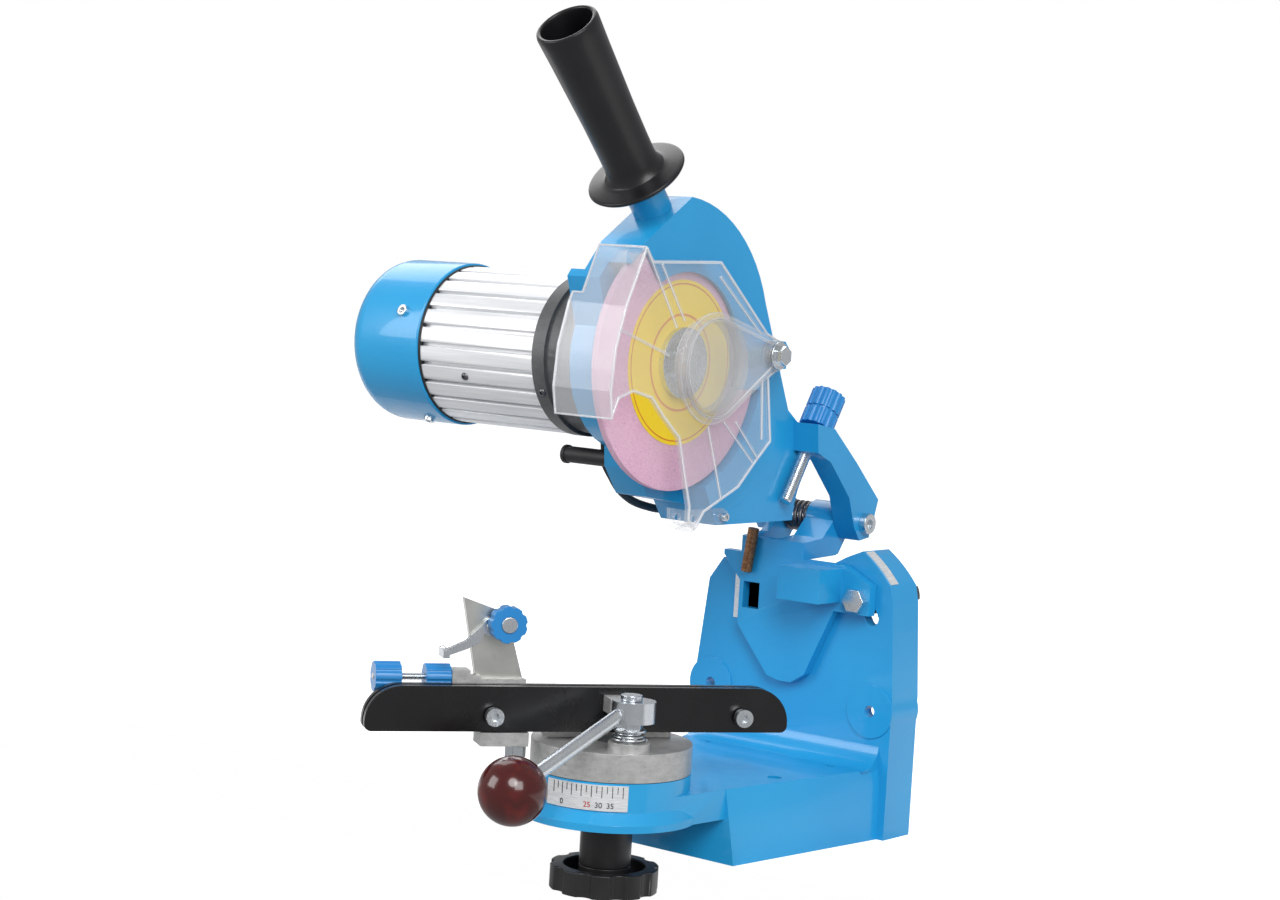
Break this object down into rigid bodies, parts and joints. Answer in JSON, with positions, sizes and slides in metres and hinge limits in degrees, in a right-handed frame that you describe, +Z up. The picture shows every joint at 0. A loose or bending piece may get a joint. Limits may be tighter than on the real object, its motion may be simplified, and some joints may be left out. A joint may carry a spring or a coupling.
{
  "type": "chain grinder",
  "caption": "Bench or wall mounted saw chain grinder: swinging, tilting motor head with a guarded wheel over a turning chain vise.",
  "frame": {"origin": "centre of the four bench bolt holes, on the underside of the base", "axes": "+X to the user's right, +Y away from the user towards the back wall, +Z up"},
  "size_m": [0.289, 0.4843, 0.4836],
  "materials": {
    "blue_paint": "gloss",
    "blue_plastic": "satin",
    "casting": "cast",
    "fins": "satin",
    "zinc": "satin",
    "dark_steel": "satin",
    "black_rail": "gloss",
    "black_plastic": "satin",
    "black_rubber": "matte",
    "ball": "gloss",
    "abrasive": "rough",
    "label": "gloss",
    "clear": "gloss",
    "scale": "satin",
    "winding": "matte",
    "grey_plastic": "satin"
  },
  "bodies": {
    "base": {"base": "blue_paint", "scale_plates": "scale", "lock_sleeve": "black_rubber", "cord_gland": "black_rubber", "mains_cord": "black_rubber", "cord_coil": "black_rubber", "plug": "black_rubber"},
    "vise": {"vise_pivot_bolt": "zinc", "vise_body": "casting", "rear_rail": "black_rail", "rail_screws": "zinc", "clamp_bolt": "zinc", "clamp_spring": "zinc", "clamp_nut_and_washer": "zinc"},
    "lock_knob": {"lock_knob": "black_plastic"},
    "lever": {"lever_hub": "zinc", "lever_rod": "zinc", "lever_ball": "ball"},
    "front_rail": {"front_rail": "black_rail", "clamp_slide": "casting"},
    "carriage": {"stop_carriage": "casting", "carriage_screws": "zinc"},
    "column": {"stop_column": "zinc"},
    "pawl": {"stop_pawl": "zinc"},
    "column_knob": {"column_knob": "blue_plastic", "column_stud": "zinc"},
    "fine_screw": {"fine_screw": "zinc", "fine_knob": "blue_plastic"},
    "fine_lock_nut": {"fine_lock_nut": "blue_plastic"},
    "head": {"head_bracket": "blue_paint", "tilt_pivot_bolt": "zinc", "tilt_lock_bolt": "zinc", "torsion_spring": "zinc"},
    "tilt_lock_knob": {"tilt_lock_knob": "grey_plastic"},
    "arm": {"arm": "blue_paint", "hinge_shaft": "zinc", "hinge_end_screws": "zinc", "handle_grip": "black_plastic", "handle_stud": "zinc", "switch_body": "black_plastic", "motor_flange": "dark_steel", "motor_housing": "fins", "motor_cap": "blue_paint", "stator": "winding", "bearings": "zinc", "motor_screws": "zinc", "guard_bolt": "zinc", "arm_screws": "zinc", "lead_peg": "black_rubber", "lead_glands": "black_rubber", "motor_lead": "black_rubber", "wheel_guard": "clear"},
    "depth_screw": {"depth_screw": "zinc"},
    "depth_knob": {"depth_knob": "blue_plastic"},
    "switch_rocker": {"switch_rocker": "black_plastic"},
    "wheel": {"rotor": "zinc", "inner_flange": "zinc", "grinding_wheel": "abrasive", "wheel_label": "label", "wheel_nut": "zinc"}
  },
  "joints": [
    {"name": "vise_turn", "type": "hinge", "parent": "base", "child": "vise", "pos_m": [0, -0.125, 0.051], "axis": [0, 0, 1], "range_deg": [-55, 4]},
    {"name": "lock_knob_turn", "type": "hinge", "parent": "vise", "child": "lock_knob", "pos_m": [0, -0.125, -0.01], "axis": [0, 0, 1], "range_deg": [-180, 20]},
    {"name": "lever_turn", "type": "hinge", "parent": "vise", "child": "lever", "pos_m": [0.0264, -0.14308, 0.088], "axis": [0, 0, 1], "range_deg": [0, 60]},
    {"name": "rail_close", "type": "slide", "parent": "vise", "child": "front_rail", "axis": [-0.8251, 0.565, 0], "range_m": [0, 0.00151]},
    {"name": "carriage_slide", "type": "slide", "parent": "vise", "child": "carriage", "axis": [0.565, 0.8251, 0], "range_m": [-0.045, 0.003]},
    {"name": "column_slide", "type": "slide", "parent": "carriage", "child": "column", "axis": [0.565, 0.8251, 0], "range_m": [-0.0029, 0.0029]},
    {"name": "fine_turn", "type": "hinge", "parent": "column", "child": "fine_screw", "pos_m": [-0.08098, -0.21863, 0.0988], "axis": [0.565, 0.8251, 0], "range_deg": [-1500, 1500]},
    {"name": "lock_nut_turn", "type": "hinge", "parent": "carriage", "child": "fine_lock_nut", "pos_m": [-0.06685, -0.198, 0.0988], "axis": [0.565, 0.8251, 0], "range_deg": [-180, 20]},
    {"name": "pawl_turn", "type": "hinge", "parent": "column", "child": "pawl", "pos_m": [-0.04732, -0.17744, 0.1273], "axis": [-0.8251, 0.565, 0], "range_deg": [-8, 35]},
    {"name": "column_knob_turn", "type": "hinge", "parent": "column", "child": "column_knob", "pos_m": [-0.03766, -0.17484, 0.13], "axis": [-0.8251, 0.565, 0], "range_deg": [-180, 180]},
    {"name": "head_tilt", "type": "hinge", "parent": "base", "child": "head", "pos_m": [0, 0.04, 0.097], "axis": [0, 1, 0], "range_deg": [-10, 10]},
    {"name": "tilt_knob_turn", "type": "hinge", "parent": "head", "child": "tilt_lock_knob", "pos_m": [0.04906, 0.06, 0.1404], "axis": [0, 1, 0], "range_deg": [-180, 20]},
    {"name": "arm_swing", "type": "hinge", "parent": "head", "child": "arm", "pos_m": [0, 0.078, 0.182], "axis": [1, 0, 0], "range_deg": [0, 31], "stiffness_Nm_per_rad": 9, "springref_deg": -91.67},
    {"name": "depth_slide", "type": "slide", "parent": "arm", "child": "depth_screw", "axis": [0, 0.5225, 0.8526], "range_m": [0, 0.0104]},
    {"name": "depth_turn", "type": "hinge", "parent": "depth_screw", "child": "depth_knob", "pos_m": [0.011, 0.04138, 0.2446], "axis": [0, 0.5225, 0.8526], "range_deg": [0, 3000]},
    {"name": "switch_turn", "type": "hinge", "parent": "arm", "child": "switch_rocker", "pos_m": [-0.044, -0.019, 0.221], "axis": [0, 0, 1], "range_deg": [0, 16]},
    {"name": "wheel_spin", "type": "hinge", "parent": "arm", "child": "wheel", "pos_m": [0, -0.087, 0.277], "axis": [1, 0, 0], "continuous": true}
  ],
  "couplings": [
    {"joint": "rail_close", "follows": "lever_turn", "m_per_rad": 0.0014357},
    {"joint": "fine_turn", "follows": "column_slide", "rad_per_m": 8976},
    {"joint": "depth_turn", "follows": "depth_slide", "rad_per_m": 5026.5}
  ]
}
